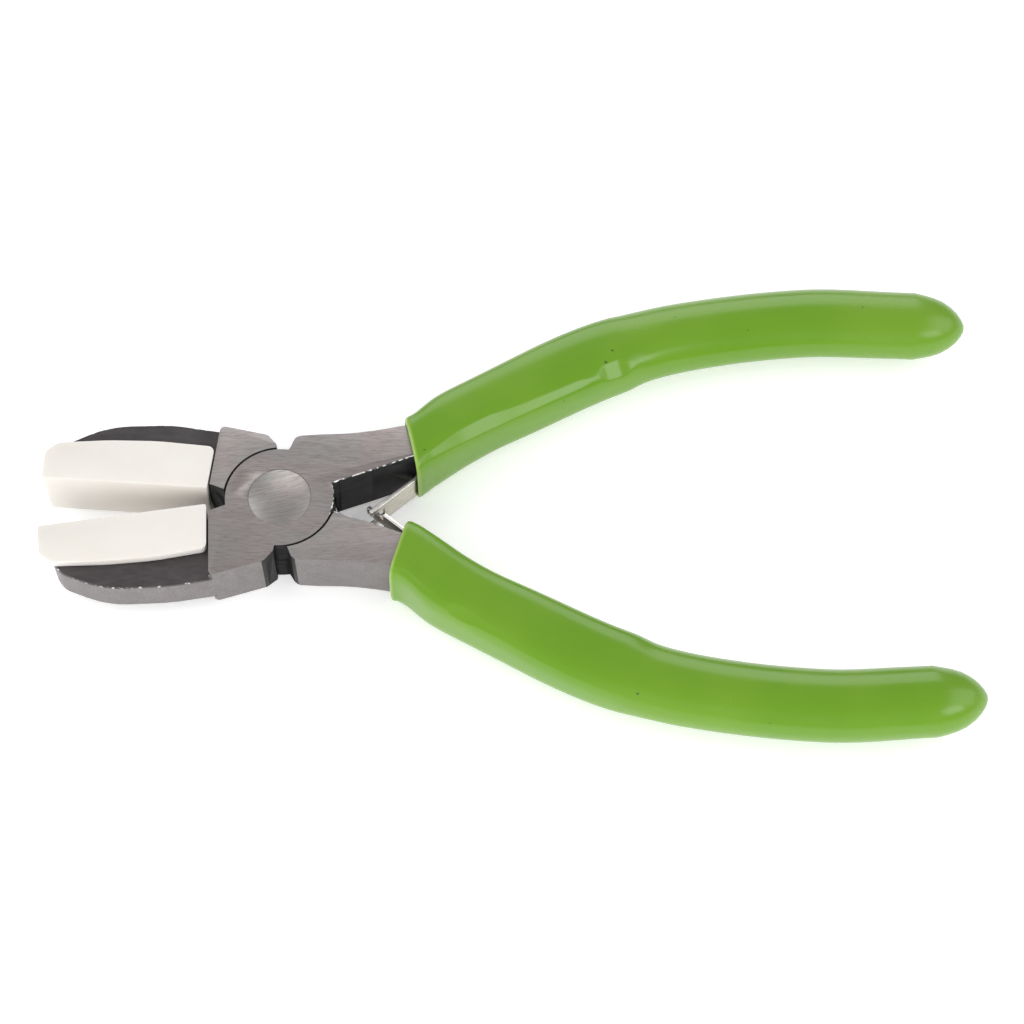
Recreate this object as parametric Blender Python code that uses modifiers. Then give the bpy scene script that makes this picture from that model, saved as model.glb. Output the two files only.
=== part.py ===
"""Small lap-joint pliers with flat nylon pads, dipped grips and a double leaf return spring.

Frame: metres, +Z up, the tool lying flat. The origin is on the pivot axis, in the plane of the joint's
underside. The jaws point to -X and the handles to +X. The jaws are modelled open, as the spring holds them.

Each half of the tool is drawn once, in its own plan with the pivot at (0, 0): its jaw lies at -Y, its handle
at +Y, and its boss fills the upper layer of the lap. Side +1 is used as drawn. Side -1 is the same half
turned over about the X axis.
"""

import math

import bmesh
import bpy
from mathutils import Matrix, Vector
from mathutils.geometry import intersect_line_line_2d

MM = 0.001

# Whole tool
OBJECT_NAME = "nylon_jaw_pliers"
GAP = 0.2 * MM  # between pieces that touch
OPEN_ANGLE = math.radians(12.7)  # between the pads as modelled
JAW_SKEW = math.radians(1.7)  # the jaws' mid-line is turned this much from the handles'

# Joint
JOINT_THICKNESS = 9.0 * MM
BOSS_RADIUS = 7.5 * MM
BOSS_STEP = 4.0  # degrees between points of its outline
LAP_GAP = 0.3 * MM  # round the boss, where it turns in the other half
LAP_CLEARANCE = 0.2 * MM  # between the two layers
EDGE_ROUND = 0.5 * MM
UNDERSIDE_DRAFT = 0.5 * MM  # the outer sides lean in this much from the top face to the underside
NOTCH_EDGE = 1.2 * MM  # from the boss to where those outer sides start
# Corners beside the boss, as (x from the pivot, y beyond the lap's clearance circle, corner radius)
NOTCH_CORNERS = ((-1.9 * MM, 2.0 * MM, 1.0 * MM), (-0.65 * MM, 0.5 * MM, 0.3 * MM))
ROOT_CORNERS = (
    (9.5 * MM, 2.1 * MM, 20.0 * MM),
    (5.3 * MM, 2.0 * MM, 8.0 * MM),
    (2.0 * MM, 1.8 * MM, 1.2 * MM),
    (1.3 * MM, 0.0, 0.4 * MM),
)
ROOT_START = (0.4 * MM, 2.5 * MM)  # inner end of the handle root: beyond that circle in X, and in Y
ROOT_CURVE = 20.0 * MM  # corner radius of the root's long sides
LOWER_ARC = (266.0, 376.0)  # degrees of the boss from the notch to the handle's inner side
UPPER_ARC = (82.0, 189.0)  # and from the handle's outer side to the jaw
RIVET_HEAD_RADIUS = 4.25 * MM
RIVET_SHANK_RADIUS = 2.6 * MM
RIVET_HEAD_DEPTH = 1.6 * MM
RIVET_RIM = 0.35 * MM  # straight rim of a head, before its countersunk cone
RIVET_CLEARANCE = 0.08 * MM

# Jaws: lengths from the pivot along the jaw, widths from the line where the pads meet
JAW_LENGTH = 31.6 * MM
JAW_OFFSET = 0.6 * MM  # the pads meet this far to +Y of the pivot
JAW_EXTRA = 0.25 * MM  # the upper jaw is wider by this, and the lower jaw narrower
JAW_BELLY = 11.0 * MM
JAW_TIP_WIDTH = 6.9 * MM
JAW_THICKNESS = 5.7 * MM
SHOULDER_REACH = 9.7 * MM  # from the pivot to the step where the thin jaw starts
STEP_INNER = (-SHOULDER_REACH, -2.1 * MM)  # inner end of that step
STEP_OUTER = (-SHOULDER_REACH + 0.8 * MM, -11.7 * MM)  # outer end of that step
STEP_SLANT = (0.4 * MM, 0.35 * MM)  # that end is further out on the lower jaw, less far on the upper

# Pads
PAD_NOSE = 1.6 * MM  # nylon beyond the jaw's tip
PAD_LENGTH = JAW_LENGTH + PAD_NOSE
PAD_WIDTH = 6.9 * MM
PAD_TIP_WIDTH = 5.7 * MM
PAD_EXTRA = 0.1 * MM  # the lower pad is wider and longer by this, the upper pad less so
PAD_THICKNESS = 8.8 * MM
PAD_WALL = 1.6 * MM  # nylon in front of the steel
PAD_CLOSED_GAP = 0.3 * MM
PAD_ROOT_GAP = 0.3 * MM  # to the shoulder's step
PAD_LIP_SETBACK = 5.0 * MM  # the pad's under lip stops this far short of the jaw's tip
PAD_NOSE_WALL = 0.7 * MM  # nylon behind the gripping face, beyond the jaw's tip
PAD_NOSE_SETBACK = 0.5 * MM  # that thin nose starts this far short of the jaw's tip
PAD_EDGE_ROUND = 0.35 * MM
PIN_RADIUS = 0.8 * MM
PIN_LENGTH = 4.2 * MM
PIN_REACH = 20.0 * MM
PIN_ACROSS = 0.55 * PAD_WIDTH  # from the gripping face
PIN_INSET = 0.1 * MM  # its end lies this far inside the pad's underside

# Handles: the steel tang runs inside the grip, along the same centre line
TANG_WIDTH = 5.0 * MM
TANG_THICKNESS = 6.4 * MM
TANG_TAPER = 0.12  # share of its size that the tang loses along its length
TANG_TIP = 0.8 * MM  # length of its blunt tip
TANG_TIP_SHARE = 0.3  # half sizes of that tip against the tang's sizes
TANG_LAP = 0.2 * MM  # the tang starts this far behind the grip's front, inside the root
BORE_LEAD = 6  # a grip's bore starts this many clearances further forward
GRIP_FRONT = 17.1 * MM
GRIP_STAGGER = 0.8 * MM  # the upper grip sits this much further back, and the lower one further forward
ROOT_COVER = 1.5 * MM  # the full-thickness root reaches this far into the grip
ROOT_LEDGE = 0.1 * MM  # it is this much wider than the tang on each side
ROOT_OUTER = (-3.48 * MM, -0.71 * MM)  # from the tang's outer edge to where the root's outer side turns
ROOT_INNER = (-7.42 * MM, -2.84 * MM)  # from the tang's inner edge to where the root's inner side turns
GRIP_LENGTH = 96.4 * MM  # in X, from the pivot
GRIP_NOSE = 5.9 * MM  # vinyl beyond the tang's end
TANG_LENGTH = GRIP_LENGTH - GRIP_NOSE
GRIP_WIDTH = 10.0 * MM
GRIP_THICKNESS = 8.5 * MM
GRIP_LIP = 0.8 * MM  # the front lip stands this far off the joint's faces
GRIP_FRONT_ANGLE = math.radians(14.5)
GRIP_FRONT_TILT = math.radians(2.5)  # the lower lip is tilted more by this, and the upper lip less
HANDLE_SPREAD = 30.1 * MM  # from the mid-line to the widest point of the centre line
RING_SIDES = 24

# Leaf springs
LEAF_THICKNESS = 0.6 * MM
LEAF_WIDTH = 4.6 * MM
LEAF_TOP = 1.0 * MM  # above the tool's middle plane
LEAF_ROOT_X = 19.2 * MM  # where a leaf leaves its slot in the tang
LEAF_BEND = (0.3 * MM, -0.7 * MM)  # from the root
LEAF_KNEE = (-0.5 * MM, -2.2 * MM)  # from the root
LEAF_TAB = 1.1 * MM  # length staked in the tang
FORK_TIP = (12.3 * MM, -0.7 * MM)  # from the pivot, just past the mid-line
TONGUE_EXTRA = 0.5 * MM  # the tongue reaches this much further than the fork
TONGUE_WIDTH = 1.5 * MM
TONGUE_CLEARANCE = 0.35 * MM
SLOT_LENGTH = 2.35 * MM
STAKE_ROOM = 0.35 * MM  # beside a leaf in its slot in the tang
STAKE_END_ROOM = 0.3 * MM  # past its tab, and above and below it
SHOULDER_SETBACK = 2.55 * MM
LEAF_SWING = 0.65 * MM  # room for a leaf to move in its grip

MIDDLE = JOINT_THICKNESS / 2


def material(name, colour, roughness, metallic):
    """A plain Principled finish."""
    finish = bpy.data.materials.new(name)
    finish.use_nodes = True
    shader = finish.node_tree.nodes["Principled BSDF"]
    shader.inputs["Base Color"].default_value = (*colour, 1.0)
    shader.inputs["Roughness"].default_value = roughness
    shader.inputs["Metallic"].default_value = metallic
    finish.diffuse_color = (*colour, 1.0)
    return finish


def fillet(corners, steps=6):
    """Points of a closed outline given as (x, y, radius) corners, with each radius drawn as an arc."""
    points = []
    for i, (x, y, radius) in enumerate(corners):
        corner = Vector((x, y))
        before = Vector(corners[i - 1][:2]) - corner
        after = Vector(corners[(i + 1) % len(corners)][:2]) - corner
        angle = before.angle(after)
        if radius <= 0 or angle > math.radians(179.5):
            points.append(corner)
            continue
        room = 0.49 * min(before.length, after.length)
        reach = min(radius / math.tan(angle / 2), room)
        radius = reach * math.tan(angle / 2)
        start = corner + before.normalized() * reach
        end = corner + after.normalized() * reach
        middle = (before.normalized() + after.normalized()).normalized()
        centre = corner + middle * (radius / math.sin(angle / 2))
        turn = (start - centre).angle_signed(end - centre)
        count = max(1, min(steps, math.ceil(abs(turn) / math.radians(7))))
        for k in range(count + 1):
            arm = (start - centre).copy()
            arm.rotate(Matrix.Rotation(-turn * k / count, 2))
            points.append(centre + arm)
    return points


def weld(mesh):
    """Close a mesh whose caps are loose, and point its faces out."""
    shape = bmesh.new()
    shape.from_mesh(mesh)
    bmesh.ops.remove_doubles(shape, verts=shape.verts, dist=0.001 * MM)
    bmesh.ops.recalc_face_normals(shape, faces=shape.faces)
    shape.to_mesh(mesh)
    shape.free()


def plate(name, points, low, high, collection):
    """A flat outline extruded from height low to height high."""
    curve = bpy.data.curves.new(name, "CURVE")
    curve.dimensions = "2D"
    curve.fill_mode = "BOTH"
    curve.extrude = (high - low) / 2
    spline = curve.splines.new("POLY")
    spline.points.add(len(points) - 1)
    for point, place in zip(spline.points, points):
        point.co = (place[0], place[1], 0.0, 1.0)
    spline.use_cyclic_u = True
    guide = bpy.data.objects.new(name + "_outline", curve)
    guide.location.z = (low + high) / 2
    collection.objects.link(guide)
    bpy.context.view_layer.update()
    evaluated = guide.evaluated_get(bpy.context.evaluated_depsgraph_get())
    mesh = bpy.data.meshes.new_from_object(evaluated)
    mesh.transform(guide.matrix_world)
    bpy.data.objects.remove(guide)
    weld(mesh)
    solid = bpy.data.objects.new(name, mesh)
    collection.objects.link(solid)
    return solid


def cylinder(name, radius, low, high, collection, centre=(0.0, 0.0), sides=64):
    """An upright cylinder."""
    shape = bmesh.new()
    bmesh.ops.create_cone(
        shape, cap_ends=True, segments=sides, radius1=radius, radius2=radius, depth=high - low
    )
    place = Vector((centre[0], centre[1], (low + high) / 2))
    bmesh.ops.translate(shape, verts=shape.verts, vec=place)
    return from_bmesh(name, shape, collection)


def from_bmesh(name, shape, collection):
    """A new object holding a finished bmesh."""
    mesh = bpy.data.meshes.new(name)
    shape.to_mesh(mesh)
    shape.free()
    solid = bpy.data.objects.new(name, mesh)
    collection.objects.link(solid)
    return solid


def boolean(target, cutters, operation):
    """Apply the cutters to the target, one after another, and remove them."""
    for cutter in cutters:
        step = target.modifiers.new("join", "BOOLEAN")
        step.operation = operation
        step.solver = "EXACT"
        step.object = cutter
        bpy.context.view_layer.update()
        evaluated = target.evaluated_get(bpy.context.evaluated_depsgraph_get())
        mesh = bpy.data.meshes.new_from_object(evaluated)
        target.modifiers.clear()
        target.data = mesh
        bpy.data.objects.remove(cutter)


def smooth_path(points, x):
    """Place and direction, at a given X, on a smooth curve through points that are ordered in X."""
    for i in range(len(points) - 1):
        if x <= points[i + 1][0] or i == len(points) - 2:
            break
    slopes = []
    for k in (i, i + 1):
        lower = points[max(k - 1, 0)]
        upper = points[min(k + 1, len(points) - 1)]
        slopes.append((upper[1] - lower[1]) / (upper[0] - lower[0]))
    span = points[i + 1][0] - points[i][0]
    t = (x - points[i][0]) / span
    rise = (2 * t**3 - 3 * t**2 + 1) * points[i][1] + (3 * t**2 - 2 * t**3) * points[i + 1][1]
    rise += span * ((t**3 - 2 * t**2 + t) * slopes[0] + (t**3 - t**2) * slopes[1])
    change = (6 * t**2 - 6 * t) * (points[i][1] - points[i + 1][1]) / span
    change += (3 * t**2 - 4 * t + 1) * slopes[0] + (3 * t**2 - 2 * t) * slopes[1]
    return Vector((x, rise)), math.atan(change)


def centre_line(x):
    """Place and direction of the handle's centre line at a given X."""
    spread = HANDLE_SPREAD
    points = (
        (GRIP_FRONT - 1.0 * MM, 0.262 * spread),
        (GRIP_FRONT + 0.6 * MM, 0.28 * spread),
        (GRIP_FRONT + 6.6 * MM, 0.427 * spread),
        (GRIP_FRONT + 14.6 * MM, 0.577 * spread),
        (GRIP_FRONT + 27.6 * MM, 0.80 * spread),
        (GRIP_FRONT + 39.6 * MM, 0.926 * spread),
        (GRIP_FRONT + 56.6 * MM, spread),
        (GRIP_FRONT + 69.6 * MM, 0.985 * spread),
        (GRIP_LENGTH, 0.965 * spread),
    )
    return smooth_path(points, x)


def loft(name, stations, collection, sides=RING_SIDES):
    """A closed body through rings along the handle's centre line.

    A station is (x, outward half width, inward half width, half thickness, squareness, ring angle or
    None for square to the line).
    Squareness 2 is an ellipse and higher values are boxier.
    """
    shape = bmesh.new()
    rings = []
    for x, outward, inward, half_thickness, squareness, ring_angle in stations:
        centre, along = centre_line(x)
        angle = along if ring_angle is None else ring_angle
        across = Vector((-math.sin(angle), math.cos(angle)))
        ring = []
        for k in range(sides):
            turn = 2 * math.pi * (k + 0.5) / sides
            cosine = math.cos(turn)
            sine = math.sin(turn)
            width = outward if cosine > 0 else inward
            out = math.copysign(abs(cosine) ** (2 / squareness), cosine) * width
            up = math.copysign(abs(sine) ** (2 / squareness), sine) * half_thickness
            ring.append(shape.verts.new((*(centre + across * out), up)))
        rings.append(ring)
    for first, second in zip(rings, rings[1:]):
        for k in range(sides):
            n = (k + 1) % sides
            shape.faces.new((first[k], first[n], second[n], second[k]))
    shape.faces.new(rings[0])
    shape.faces.new(reversed(rings[-1]))
    bmesh.ops.recalc_face_normals(shape, faces=shape.faces)
    return from_bmesh(name, shape, collection)


def jaw_point(along, across, side):
    """Plan place of a point given along and across the jaw, on a half turned to its open position."""
    turn = OPEN_ANGLE / 2 + side * JAW_SKEW
    return (
        -along * math.cos(turn) + across * math.sin(turn),
        -along * math.sin(turn) - across * math.cos(turn),
    )


def face_offset(side):
    """How far a pad's gripping face is from the pivot, towards its own jaw."""
    return PAD_CLOSED_GAP / 2 - side * JAW_OFFSET


def step_ends(side):
    """Inner and outer ends of the step between a jaw's shoulder and its thin part."""
    return Vector(STEP_INNER), Vector(STEP_OUTER) - side * Vector(STEP_SLANT)


def blade_outline(side, grow=0.0):
    """Plan of the thin steel jaw. Its root lies inside the shoulder, flush with the outer side."""
    inner = face_offset(side) + PAD_WALL - grow
    outward = grow - side * JAW_EXTRA
    length = JAW_LENGTH + grow
    corners = (
        (0.6 * SHOULDER_REACH, inner, 0.0),
        (length, inner, 0.5 * MM),
        (length + 0.2 * MM, 0.75 * JAW_TIP_WIDTH + outward, 2.0 * MM),
        (length - 0.8 * MM, JAW_TIP_WIDTH + outward, 3.0 * MM),
        (0.80 * JAW_LENGTH, 0.92 * JAW_BELLY + outward, 14.0 * MM),
        (0.52 * JAW_LENGTH, JAW_BELLY + outward, 16.0 * MM),
    )
    _, step = step_ends(side)
    plan = [(*jaw_point(u, w, side), r) for u, w, r in corners]
    plan.append((*step, 0.0))
    plan.append((0.5 * step.x, 0.8 * step.y, 0.0))
    return fillet(plan)


def beside_step(across, side):
    """Plan place at a given width on the jaw, just clear of the shoulder's step."""
    shift = Vector((-PAD_ROOT_GAP, 0.0))
    inner, outer = step_ends(side)
    start = 2 * inner - outer + shift
    end = 2 * outer - inner + shift
    near = Vector(jaw_point(0.0, across, side))
    far = Vector(jaw_point(PAD_LENGTH, across, side))
    return intersect_line_line_2d(start, end, near, far)


def pad_outline(side):
    """Plan of a pad, whose root follows the shoulder's step."""
    face = face_offset(side)
    length = PAD_LENGTH + side * PAD_EXTRA
    tip = face + PAD_TIP_WIDTH + side * PAD_EXTRA
    back = face + PAD_WIDTH + side * PAD_EXTRA
    corners = (
        (length, face, 0.4 * MM),
        (length + 0.1 * MM, tip - 1.5 * MM, 1.2 * MM),
        (length - 1.5 * MM, tip, 1.8 * MM),
        (0.74 * PAD_LENGTH, back - 0.35 * MM, 20.0 * MM),
        (0.54 * PAD_LENGTH, back, 20.0 * MM),
    )
    plan = [(*beside_step(face, side), 0.3 * MM)]
    plan += [(*jaw_point(u, w, side), r) for u, w, r in corners]
    plan.append((*beside_step(back - 0.3 * MM, side), 0.9 * MM))
    return fillet(plan)


def soften_outer_edges(solid, width):
    """Round the long edges between a plate's flat faces and its outer side."""
    shape = bmesh.new()
    shape.from_mesh(solid.data)
    edges = []
    for edge in shape.edges:
        if abs(edge.verts[0].co.z - edge.verts[1].co.z) > 0.01 * MM:
            continue
        middle = (edge.verts[0].co + edge.verts[1].co) / 2
        if edge.calc_face_angle(0.0) > 1.0 and abs(middle.y) > BOSS_RADIUS + NOTCH_EDGE:
            edges.append(edge)
    bmesh.ops.bevel(
        shape, geom=edges, offset=width, segments=3, profile=0.5, affect="EDGES", clamp_overlap=True
    )
    shape.to_mesh(solid.data)
    shape.free()


def lean_outer_sides(solid, side):
    """Draft the outer sides of the jaw and the handle root in towards the tool's underside."""
    shape = bmesh.new()
    shape.from_mesh(solid.data)
    for vert in shape.verts:
        if vert.co.x < GRIP_FRONT:
            share = min(max(abs(vert.co.y) - BOSS_RADIUS - NOTCH_EDGE / 2, 0.0) / NOTCH_EDGE, 1.0)
            depth = 0.5 - side * vert.co.z / JOINT_THICKNESS
            vert.co.y -= math.copysign(UNDERSIDE_DRAFT * depth * share, vert.co.y)
    shape.to_mesh(solid.data)
    shape.free()


def boss_arc(start, end):
    """Points on the boss from one angle to another, in degrees and counter-clockwise."""
    count = max(1, round((end - start) / BOSS_STEP))
    points = []
    for k in range(count + 1):
        angle = math.radians(start + (end - start) * k / count)
        points.append((BOSS_RADIUS * math.cos(angle), BOSS_RADIUS * math.sin(angle), 0.0))
    return points


def root_turns():
    """The outer and inner points where the sides of the handle root turn towards the tang."""
    outer, inner = tang_edges()
    return outer + Vector(ROOT_OUTER), inner + Vector(ROOT_INNER)


def tang_edges(extra=0.0):
    """The outer and inner points where the full-thickness handle root steps down to the tang."""
    start, angle = centre_line(GRIP_FRONT + ROOT_COVER + extra)
    reach = Vector((-math.sin(angle), math.cos(angle))) * (TANG_WIDTH / 2 + ROOT_LEDGE + extra)
    return start + reach, start - reach


def lever_outline(side):
    """Plan of the full-thickness steel: jaw shoulder, boss and handle root."""
    outer, inner = tang_edges()
    outer_turn, inner_turn = root_turns()
    step_inner, step_outer = step_ends(side)
    notch = BOSS_RADIUS + LAP_GAP
    corners = boss_arc(*UPPER_ARC)
    corners += [
        (*step_inner, 0.0),
        (*step_outer, 0.7 * MM),
    ]
    corners += [(x, -notch - beyond, radius) for x, beyond, radius in NOTCH_CORNERS]
    corners += boss_arc(*LOWER_ARC)
    corners += [
        (notch + ROOT_START[0], ROOT_START[1], 0.0),
        (*inner_turn, ROOT_CURVE),
        (*inner, 0.0),
        (*outer, 0.0),
        (*outer_turn, ROOT_CURVE),
    ]
    corners += [(x, notch + beyond, radius) for x, beyond, radius in ROOT_CORNERS]
    return fillet(corners)


def lever(name, side, collection):
    """One steel half: boss, jaw shoulder, thin jaw, handle root and tang."""
    half = JOINT_THICKNESS / 2
    body = plate(name, lever_outline(side), -half, half, collection)
    lean_outer_sides(body, side)
    soften_outer_edges(body, EDGE_ROUND)
    thin = JAW_THICKNESS / 2
    blade = plate("blade", blade_outline(side), -thin, thin, collection)
    lean_outer_sides(blade, side)
    tang = loft("tang", tang_stations(0.0), collection, sides=16)
    boolean(body, [blade, tang], "UNION")
    # The other half's boss turns in a pocket through the lower layer.
    pocket = BOSS_RADIUS + LAP_GAP
    clear = cylinder("clear", pocket, -half - 1.0 * MM, LAP_CLEARANCE / 2, collection, sides=96)
    bore = rivet_body("bore", RIVET_CLEARANCE, half + 1.0 * MM, collection)
    pin_hole = pad_pin_body("pin_hole", side, GAP, collection)
    slot = leaf_slot(side, collection)
    boolean(body, [clear, bore, pin_hole, slot], "DIFFERENCE")
    return body


def tang_stations(grow):
    """Rings of the tang, or of its bore in the grip when grow is the clearance."""
    start = GRIP_FRONT + TANG_LAP - BORE_LEAD * grow
    stations = []
    count = 15
    for k in range(count + 1):
        x = start + (TANG_LENGTH - start) * k / count
        taper = 1.0 - TANG_TAPER * k / count
        width = TANG_WIDTH / 2 * taper + grow
        stations.append((x, width, width, TANG_THICKNESS / 2 * taper + grow, 3.2, None))
    tip = TANG_LENGTH + TANG_TIP + grow
    width = TANG_WIDTH * TANG_TIP_SHARE + grow
    stations.append((tip, width, width, TANG_THICKNESS * TANG_TIP_SHARE + grow, 2.5, None))
    return stations


def rivet_body(name, grow, reach, collection):
    """The pivot rivet: a shank with a countersunk head at each face, turned about the pivot."""
    half = JOINT_THICKNESS / 2
    head = RIVET_HEAD_RADIUS + grow
    shank = RIVET_SHANK_RADIUS + grow
    neck = half - RIVET_HEAD_DEPTH
    flat = half if grow == 0.0 else reach
    profile = ((0.0, flat), (head, flat), (head, half - RIVET_RIM), (shank, neck))
    shape = bmesh.new()
    points = [shape.verts.new((r, 0.0, z)) for r, z in profile]
    points += [shape.verts.new((r, 0.0, -z)) for r, z in reversed(profile)]
    for first, second in zip(points, points[1:]):
        shape.edges.new((first, second))
    guide = from_bmesh(name, shape, collection)
    screw = guide.modifiers.new("turn", "SCREW")
    screw.steps = 72
    screw.render_steps = 72
    screw.use_merge_vertices = True
    screw.merge_threshold = 0.00001
    bpy.context.view_layer.update()
    evaluated = guide.evaluated_get(bpy.context.evaluated_depsgraph_get())
    guide.data = bpy.data.meshes.new_from_object(evaluated)
    guide.modifiers.clear()
    return guide


def pad_pin_body(name, side, grow, collection):
    """The dowel that holds a pad to its jaw, from the tool's underside."""
    across = face_offset(side) + PIN_ACROSS
    place = jaw_point(PIN_REACH, across, side)
    low = -PAD_THICKNESS / 2 + PIN_INSET
    reach = low + PIN_LENGTH + grow
    bottom = low if grow == 0.0 else low - 1.0 * MM
    low, high = sorted((side * bottom, side * reach))
    return cylinder(name, PIN_RADIUS + grow, low, high, collection, centre=place, sides=24)


def leaf_heights(side, grow=0.0):
    """Heights of a leaf's bottom and top edges in the plan of its own half."""
    ends = (side * LEAF_TOP, side * (LEAF_TOP - LEAF_WIDTH))
    return min(ends) - grow, max(ends) + grow


def root_normal():
    """Direction from a leaf's root into the tang."""
    _, along = centre_line(LEAF_ROOT_X)
    return Vector((-math.sin(along), math.cos(along)))


def from_root(offset):
    """A plan place given from the leaf's root, which lies half a tang's width below the centre line."""
    centre, _ = centre_line(LEAF_ROOT_X)
    return centre + Vector((offset[0], offset[1] - TANG_WIDTH / 2))


def strip(points, thickness, radii):
    """Outline of a thin strip that follows the points, with its bends rounded."""
    half = thickness / 2
    left = []
    right = []
    for i, point in enumerate(points):
        before = (point - points[i - 1]).normalized() if i else None
        after = (points[i + 1] - point).normalized() if i + 1 < len(points) else None
        ahead = ((before or after) + (after or before)).normalized()
        stretch = half / max(0.4, ahead.dot(after or before))
        normal = Vector((-ahead.y, ahead.x)) * stretch
        left.append((*(point + normal), radii[i]))
        right.append((*(point - normal), radii[i]))
    return fillet(left + right[::-1])


def leaf_points(extra):
    """Centre line of a leaf from its tab to its tip."""
    tab = from_root((0.0, 0.0)) + root_normal() * LEAF_TAB
    knee = from_root(LEAF_KNEE)
    tip = Vector(FORK_TIP)
    tip += (tip - knee).normalized() * extra
    return [tab, from_root((0.0, 0.0)), from_root(LEAF_BEND), knee, tip]


def leaf_slot(side, collection):
    """The staking slot in the tang that a leaf's tab sits in."""
    low, high = leaf_heights(side, STAKE_END_ROOM)
    into = root_normal()
    sideways = Vector((into.y, -into.x)) * (LEAF_THICKNESS / 2 + STAKE_ROOM)
    mouth = from_root((0.0, 0.0)) - into * 1.5 * MM
    end = from_root((0.0, 0.0)) + into * (LEAF_TAB + STAKE_END_ROOM)
    points = [mouth - sideways, mouth + sideways, end + sideways, end - sideways]
    return plate("slot", points, low, high, collection)


def leaf(name, side, collection):
    """A leaf of the return spring. Side +1 is forked, and the tongue of side -1 passes through its fork."""
    forked = side > 0
    points = leaf_points(0.0 if forked else TONGUE_EXTRA)
    low, high = leaf_heights(side)
    outline = strip(points, LEAF_THICKNESS, (0.0, 0.0, 0.4 * MM, 0.8 * MM, 0.1 * MM))
    body = plate(name, outline, low, high, collection)
    ahead = (points[-1] - points[-2]).normalized()
    sideways = Vector((-ahead.y, ahead.x)) * 1.5 * MM
    middle = (low + high) / 2
    if forked:
        start = points[-1] - ahead * SLOT_LENGTH
        end = points[-1] + ahead * 1.0 * MM
        half = TONGUE_WIDTH / 2 + TONGUE_CLEARANCE
        corners = [start - sideways, end - sideways, end + sideways, start + sideways]
        cutters = [plate("fork", corners, middle - half, middle + half, collection)]
    else:
        start = points[-1] - ahead * (SHOULDER_SETBACK + TONGUE_EXTRA)
        end = points[-1] + ahead * 1.0 * MM
        corners = [start - sideways, end - sideways, end + sideways, start + sideways]
        half = TONGUE_WIDTH / 2
        cutters = [
            plate("above", corners, middle + half, high + 1.0 * MM, collection),
            plate("below", corners, low - 1.0 * MM, middle - half, collection),
        ]
    boolean(body, cutters, "DIFFERENCE")
    return body


def pad(name, side, collection):
    """A nylon pad: a channel over the thin jaw, open at the back."""
    half = PAD_THICKNESS / 2
    body = plate(name, pad_outline(side), -half, half, collection)
    soften_all(body, PAD_EDGE_ROUND)
    thin = JAW_THICKNESS / 2 + GAP
    steel = plate("channel", blade_outline(side, grow=GAP), -thin, thin, collection)
    pin = pad_pin_body("pin_hole", side, GAP, collection)
    edge = JAW_THICKNESS / 2
    lip = under_cut("lip", side, JAW_LENGTH - PAD_LIP_SETBACK, PAD_WALL, -edge, collection)
    nose = under_cut("nose", side, JAW_LENGTH - PAD_NOSE_SETBACK, PAD_NOSE_WALL, edge, collection)
    boolean(body, [steel, pin, lip, nose], "DIFFERENCE")
    return body


def under_cut(name, side, start, wall, top, collection):
    """A block that clears a pad's underside from a place along the jaw to past its nose."""
    inner = face_offset(side) + wall
    outer = inner + PAD_WIDTH + PAD_EXTRA
    end = PAD_LENGTH + 2.0 * MM
    corners = ((start, inner), (end, inner), (end, outer), (start, outer))
    points = [Vector(jaw_point(along, across, side)) for along, across in corners]
    low, high = sorted((side * top, side * -PAD_THICKNESS))
    return plate(name, points, low, high, collection)


def soften_all(solid, width):
    """Round every edge of a plate."""
    shape = bmesh.new()
    shape.from_mesh(solid.data)
    edges = [edge for edge in shape.edges if edge.calc_face_angle(0.0) > 1.0]
    bmesh.ops.bevel(
        shape, geom=edges, offset=width, segments=2, profile=0.5, affect="EDGES", clamp_overlap=True
    )
    shape.to_mesh(solid.data)
    shape.free()


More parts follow.
